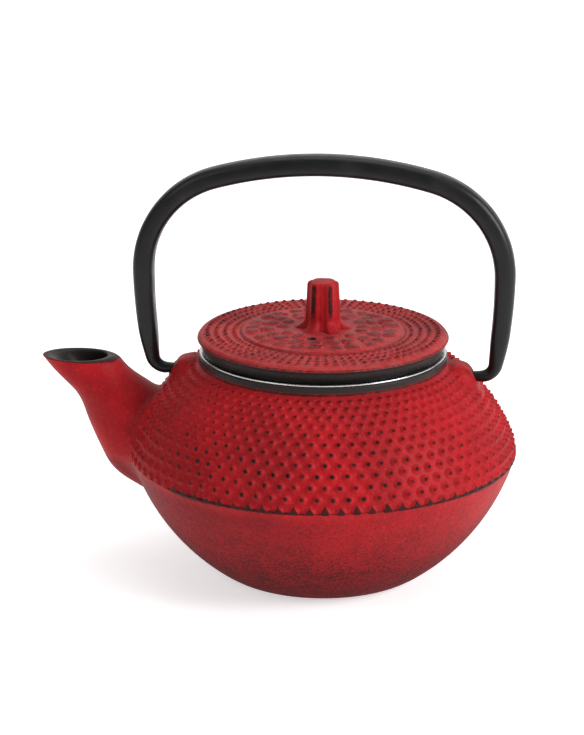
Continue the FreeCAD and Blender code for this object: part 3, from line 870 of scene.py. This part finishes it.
def perforated(shell, place, cells_u, cells_v, hole, keep=None):
    """Sheet of cells with round holes; place gives the points of cells on side 0 or 1."""
    turn = (np.arange(8) + 0.5) * math.pi / 4
    square = np.stack([np.cos(turn), np.sin(turn)], -1)
    square = square / np.abs(square).max(axis=-1, keepdims=True) * 0.5
    corner = np.stack([np.cos(turn), np.sin(turn)], -1) * hole
    v, u = np.meshgrid(np.arange(cells_v), np.arange(cells_u), indexing="ij")
    middles = np.stack([u.reshape(-1), v.reshape(-1)], -1) + 0.5
    if keep is not None:
        middles = middles[keep(middles)]
    outer = middles[:, None] + square
    inner = middles[:, None] + corner
    rings = [place(outer, 0), place(inner, 0), place(inner, 1), place(outer, 1)]
    points = np.stack(rings, 1).reshape(-1, 3)
    count = np.arange(len(middles))[:, None, None]
    shell.add(points, (grid_faces(4, 8)[None] + count * 32).reshape(-1, 4))
    # the corners between four holes
    wide = (np.arange(4) * 2 + 1) * math.pi / 4
    tip = np.stack([np.sign(np.cos(wide)), np.sign(np.sin(wide))], -1) * 0.5
    tips = middles[:, None] + tip
    tris = np.array([((2 * k) % 8, 8 + k, (2 * k + 1) % 8) for k in range(4)])
    for side in (0, 1):
        both = np.concatenate([place(outer, side), place(tips, side)], axis=1).reshape(-1, 3)
        facing = tris[:, ::-1] if side else tris
        shell.add(both, (facing[None] + count * 12).reshape(-1, 3))


def make_infuser_wall():
    """Perforated wall with a plain band at its foot and at its top."""
    shell = Shell()

    def around(cell, side):
        angle = cell[..., 0] / WALL_CELLS * 2 * math.pi
        r = MESH_R - 0.02 - side * (SHEET_T - 0.04)
        return polar(r, angle, MESH_LOW_Z + cell[..., 1] / WALL_ROWS * (MESH_TOP_Z - MESH_LOW_Z))

    perforated(shell, around, WALL_CELLS, WALL_ROWS, WALL_HOLE)
    low_z = INFUSER_LOW_Z + SHEET_T + 0.02
    for low, high in ((low_z, MESH_LOW_Z), (MESH_TOP_Z, WALL_TOP_Z)):
        band = np.array([(MESH_R - 0.02, low), (MESH_R - 0.02, high),
                         (MESH_R - SHEET_T + 0.02, high), (MESH_R - SHEET_T + 0.02, low),
                         (MESH_R - 0.02, low)])
        lathe(shell, band, WALL_CELLS)
    return shell.make("infuser_wall_mesh", 50)


def make_infuser_floor():
    """Perforated disc with a plain ring round it."""
    shell = Shell()
    reach = MESH_R - SHEET_T - 0.1
    low, thick = INFUSER_LOW_Z + SHEET_T + 0.03, SHEET_T - 0.06

    def spread(cell):
        return (cell - FLOOR_CELLS / 2) * FLOOR_PITCH

    def level(cell, side):
        p = spread(cell)
        return np.stack([p[..., 0], p[..., 1], low + (1 - side) * thick + 0 * p[..., 0]], -1)

    def inside(middles):
        return np.hypot(*spread(middles).T) < reach - 2.6

    perforated(shell, level, FLOOR_CELLS, FLOOR_CELLS, FLOOR_HOLE, inside)
    ring = np.array([(reach - 3.8, low), (reach, low), (reach, low + thick),
                     (reach - 3.8, low + thick)])
    # a hair above the disc's faces, so that the two never lie in one plane
    lathe(shell, (ring + np.array([0, 0.012])) * np.array([1, 0.9999]), 160)
    return shell.make("infuser_floor_mesh", 50)


# ---- materials ----
class Nodes:
    """A material's node tree, with short names for the nodes used here."""

    def __init__(self, name):
        self.material = bpy.data.materials.new(name)
        self.material.use_nodes = True
        self.tree = self.material.node_tree
        self.shader = self.tree.nodes["Principled BSDF"]
        self.where = self.tree.nodes.new("ShaderNodeTexCoord").outputs["Object"]

    def put(self, node, inputs):
        """Sets a node's inputs to numbers or colours, or links them to other nodes' outputs."""
        for key, value in inputs.items():
            if isinstance(value, (int, float, tuple)):
                node.inputs[key].default_value = value
            else:
                self.tree.links.new(value, node.inputs[key])

    def new(self, kind, inputs=None, **settings):
        node = self.tree.nodes.new(kind)
        for key, value in settings.items():
            setattr(node, key, value)
        self.put(node, inputs or {})
        return node

    def noise(self, scale, detail=4.0, roughness=0.55):
        """Noise with about this many waves to the metre."""
        inputs = {"Vector": self.where, "Scale": scale, "Detail": detail, "Roughness": roughness}
        return self.new("ShaderNodeTexNoise", inputs).outputs["Fac"]

    def cells(self, scale):
        inputs = {"Vector": self.where, "Scale": scale}
        return self.new("ShaderNodeTexVoronoi", inputs).outputs["Distance"]

    def ramp(self, value, low, high, out_low=0.0, out_high=1.0):
        inputs = {"Value": value, "From Min": low, "From Max": high,
                  "To Min": out_low, "To Max": out_high}
        node = self.new("ShaderNodeMapRange", inputs, clamp=True, interpolation_type="SMOOTHSTEP")
        return node.outputs["Result"]

    def math(self, operation, a, b):
        return self.new("ShaderNodeMath", {0: a, 1: b}, operation=operation).outputs[0]

    def mix(self, share, a, b, kind="RGBA"):
        node = self.new("ShaderNodeMix", data_type=kind)
        first, second, result = {"RGBA": (6, 7, 2), "FLOAT": (2, 3, 0)}[kind]
        self.put(node, {0: share, first: a, second: b})
        return node.outputs[result]

    def attribute(self, name):
        return self.new("ShaderNodeAttribute", attribute_name=name).outputs["Fac"]

    def bump(self, height, distance, strength, after=None):
        inputs = {"Distance": distance, "Strength": strength, "Height": height}
        if after is not None:
            inputs["Normal"] = after
        return self.new("ShaderNodeBump", inputs).outputs["Normal"]

    def finish(self, color, roughness, metallic, normal, specular):
        self.put(self.shader, {"Base Color": color, "Roughness": roughness, "Metallic": metallic,
                               "Normal": normal, "Specular IOR Level": specular})
        return self.material


RED = (0.385, 0.0060, 0.0105, 1)
RED_DEEP = (0.28, 0.0048, 0.0085, 1)
# painted shade of the bowl
RED_PAINTED_SHADE = (0.17, 0.0040, 0.007, 1)
RED_FLECK = (0.055, 0.0050, 0.0055, 1)
RED_LIGHT = (0.52, 0.022, 0.026, 1)
DARK_IRON = (0.017, 0.006, 0.0055, 1)
BLACK = (0.026, 0.021, 0.020, 1)
# grey dust, partly a painted sheen
DUST_AND_SHEEN = (0.40, 0.115, 0.105, 1)
# near-black of the deepest-worn cores, and painted shadow under the lid's lip
TIP_CORE_AND_SHADOW_BLACK = (0.002, 0.002, 0.002, 1)


def red_enamel(name, dust_and_sheen):
    """Matt red enamel, worn to dark iron on its raised points, speckled low on the bowl.

    The mesh's rub wears it off, and in places paints shade dark; its coat turns it black, and above
    one near-black as painted shadow.
    The bowl is darkened towards its bottom and left side as painted shade, and a grey dust, partly
    a painted sheen, lies over it. Heights are in metres.
    """
    m = Nodes(name)
    rub, coat = m.attribute("rub"), m.attribute("coat")
    split = m.new("ShaderNodeSeparateXYZ", {0: m.where})
    height = split.outputs["Z"]
    patches = m.noise(55, 3)
    grain = m.noise(900, 3, 0.6)
    pits = m.cells(620)
    color = m.mix(m.ramp(patches, 0.36, 0.66), RED_DEEP, RED)
    color = m.mix(m.math("MULTIPLY", m.ramp(grain, 0.5, 0.72), 0.5), color, RED_LIGHT)
    # grey dust, partly a painted sheen, strongest on the lid
    color = m.mix(m.ramp(m.noise(420, 3), 0.35, 0.65, 0.4 * dust_and_sheen, dust_and_sheen), color, DUST_AND_SHEEN)
    # painted shade: the bowl darkens towards its bottom and its left side
    low, on_bowl = m.ramp(height, 0.037, 0.004), m.ramp(height, 0.0375, 0.034)
    side = m.math("MULTIPLY", m.ramp(split.outputs["X"], 0.045, -0.04), on_bowl)
    color = m.mix(m.math("MAXIMUM", low, m.math("MULTIPLY", side, 0.7)), color, RED_PAINTED_SHADE)
    # the flecks grow denser towards the bottom, and on the left side as painted shade
    dense = m.math("ADD", m.math("MULTIPLY", low, 0.125), m.math("MULTIPLY", side, 0.045))
    clumps = m.ramp(m.noise(160, 2), 0.3, 0.7, -0.05, 0.05)
    flecks = m.math("ADD", m.math("ADD", m.noise(1500, 1, 0.4), clumps), dense)
    flecks = m.math("MULTIPLY", m.ramp(flecks, 0.57, 0.67), on_bowl)
    flecks = m.math("MULTIPLY", flecks, m.ramp(height, 0.035, 0.008, 0.4, 0.9))
    color = m.mix(flecks, color, RED_FLECK)
    rough_edge = m.math("MULTIPLY", m.ramp(m.noise(1300, 2), 0.32, 0.62, 0.7, 1.1), rub)
    worn = m.ramp(rough_edge, 0.15, 0.6)
    color = m.mix(m.math("MULTIPLY", worn, 0.93), color, DARK_IRON)
    # near-black cores where the wear is deepest
    color = m.mix(m.ramp(rough_edge, 0.74, 0.95), color, TIP_CORE_AND_SHADOW_BLACK)
    color = m.mix(m.ramp(coat, 0.2, 0.8), color, BLACK)
    # painted shadow: coat above one, under the lid's lip, turns near-black
    color = m.mix(m.ramp(coat, 1.1, 1.9), color, TIP_CORE_AND_SHADOW_BLACK)
    rough = m.mix(worn, m.ramp(grain, 0.3, 0.7, 0.46, 0.58), 0.5, "FLOAT")
    rough = m.mix(low, rough, 0.8, "FLOAT")
    rough = m.mix(coat, rough, 0.38, "FLOAT")
    wave = m.bump(m.noise(330, 3, 0.5), 0.0004, 0.35)
    dimple = m.bump(pits, 0.0002, 0.35, wave)
    return m.finish(color, rough, 0.0, m.bump(grain, 0.00012, 0.5, dimple), 0.11)


def bail_black():
    """Satin black paint, faintly uneven and a little greyer where it is handled."""
    m = Nodes("bail_satin_black")
    grain = m.noise(1100, 3, 0.6)
    wear = m.ramp(m.noise(70, 4), 0.55, 0.8)
    color = m.mix(wear, (0.006, 0.006, 0.0065, 1), (0.018, 0.0175, 0.018, 1))
    rough = m.ramp(m.noise(160, 3), 0.3, 0.7, 0.30, 0.42)
    wave = m.bump(m.noise(60, 3), 0.0006, 0.25)
    return m.finish(color, rough, 0.0, m.bump(grain, 0.00008, 0.5, wave), 0.26)


def stainless(name, tint, scale):
    """Bright steel sheet with fine uneven polish."""
    m = Nodes(name)
    streaks = m.noise(scale, 3, 0.6)
    color = m.mix(m.ramp(streaks, 0.35, 0.65), tint, tuple(c * 0.92 for c in tint[:3]) + (1,))
    rough = m.ramp(m.noise(scale * 1.7, 3), 0.3, 0.7, 0.24, 0.32)
    return m.finish(color, rough, 1.0, m.bump(streaks, 0.00001, 0.1), 0.5)


def floor_paper():
    m = Nodes("studio_paper")
    fibre = m.noise(700, 4, 0.6)
    color = m.mix(m.ramp(fibre, 0.3, 0.7), (0.74, 0.74, 0.74, 1), (0.77, 0.77, 0.77, 1))
    m.put(m.shader, {"Emission Color": (1, 1, 1, 1), "Emission Strength": 0.56})
    return m.finish(color, 0.9, 0.0, m.bump(fibre, 0.0001, 0.15), 0.1)


# ---- put together ----
pot_enamel, lid_enamel = red_enamel("red_enamel", 0.03), red_enamel("red_enamel_dust_and_sheen", 0.3)
sheet_steel = stainless("stainless_pressed", (0.64, 0.64, 0.63, 1), 420)
mesh_steel = stainless("stainless_perforated", (0.58, 0.58, 0.57, 1), 260)

PIECES = [
    (make_pot, pot_enamel, "pot", "pot_body", "red_iron"),
    (make_lid, lid_enamel, "lid_and_knob", "lid", "red_iron"),
    (make_knob, pot_enamel, "lid_and_knob", "lid_knob", "red_iron"),
    (make_bail, bail_black(), "bail", "bail_handle", "black_bail"),
    (make_infuser_rim, sheet_steel, "infuser", "infuser_rim", "stainless"),
    (make_infuser_foot_ring, sheet_steel, "infuser", "infuser_foot_ring", "stainless"),
    (make_infuser_wall, mesh_steel, "infuser", "infuser_wall", "stainless_mesh"),
    (make_infuser_floor, mesh_steel, "infuser", "infuser_floor", "stainless_mesh"),
]
for make, material, body, node, slot in PIECES:
    piece = make()
    piece.data.materials.append(material)
    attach(piece, body)
    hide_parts(node)

# ---- studio ----
FLOOR_REACH = 3000.0
FLOOR_Y, FLOOR_DROP = 1300.0, 0.05  # where it starts to curve up, and how far below the base
CURVE_R = 500.0
BACKDROP_TOP = 2600.0
LIT_POINT = (0, 0, 0.05)  # metres; all lamps face it


def make_floor():
    """Paper that runs level under the pot and curves up far behind it."""
    shell = Shell()
    course = [(-FLOOR_REACH, -FLOOR_DROP), (FLOOR_Y, -FLOOR_DROP)]
    for a in np.linspace(0.1, 1.5, 14):
        course.append((FLOOR_Y + CURVE_R * math.sin(a), CURVE_R - CURVE_R * math.cos(a)))
    course.append((FLOOR_Y + CURVE_R, BACKDROP_TOP))
    rows = np.array([[(-FLOOR_REACH, y, z), (FLOOR_REACH, y, z)] for y, z in course])
    shell.add(rows, grid_faces(len(course), 2, closed=False)[:, ::-1])
    floor = shell.make("studio_floor", 60)
    floor.data.materials.append(floor_paper())


def area_light(name, place, size, power):
    """Square lamp, in metres and watts."""
    light = bpy.data.lights.new(name, "AREA")
    light.shape = "SQUARE"
    light.size = size
    light.energy = power
    lamp = bpy.data.objects.new(name, light)
    lamp.location = place
    aim = Vector(LIT_POINT) - Vector(place)
    lamp.rotation_euler = aim.to_track_quat("-Z", "Y").to_euler()
    bpy.context.scene.collection.objects.link(lamp)


make_floor()
area_light("key_left", (-0.75, -0.75, 0.85), 0.5, 2.6)
area_light("fill_right", (0.95, -0.35, 0.55), 0.5, 11.5)
area_light("top_soft", (0.0, 0.15, 1.2), 0.9, 5.2)

world = bpy.data.worlds.new("studio")
bpy.context.scene.world = world
world.use_nodes = True
sky = world.node_tree.nodes["Background"]
sky.inputs["Color"].default_value = (1, 1, 1, 1)
sky.inputs["Strength"].default_value = 0.27

# ---- camera ----
CAMERA_DISTANCE = 0.700  # from the pot's axis, in metres
CAMERA_AZIMUTH = math.radians(5.0)
CAMERA_HEIGHT = 0.2803
YAW, PITCH, ROLL = -0.0135, 0.3001, -0.0012  # radians; yaw is from the way to the axis
LENS = 117.37  # millimetres

lens = bpy.data.cameras.new("photo_camera")
lens.sensor_fit = "VERTICAL"
lens.sensor_height = 36
lens.lens = LENS
lens.clip_end = 20
camera = bpy.data.objects.new("photo_camera", lens)
bpy.context.scene.collection.objects.link(camera)
turned = YAW - CAMERA_AZIMUTH
forward = Vector((math.sin(turned) * math.cos(PITCH), math.cos(turned) * math.cos(PITCH),
                  -math.sin(PITCH)))
level = Vector((math.cos(turned), -math.sin(turned), 0))
upward = level.cross(forward)
across = level * math.cos(ROLL) + upward * math.sin(ROLL)
upright = upward * math.cos(ROLL) - level * math.sin(ROLL)
turn_to = Matrix((across, upright, -forward)).transposed().to_4x4()
place = Vector((math.sin(CAMERA_AZIMUTH) * CAMERA_DISTANCE,
                -math.cos(CAMERA_AZIMUTH) * CAMERA_DISTANCE, CAMERA_HEIGHT))
camera.matrix_world = Matrix.Translation(place) @ turn_to
bpy.context.scene.camera = camera
bpy.context.scene.view_settings.view_transform = "Standard"
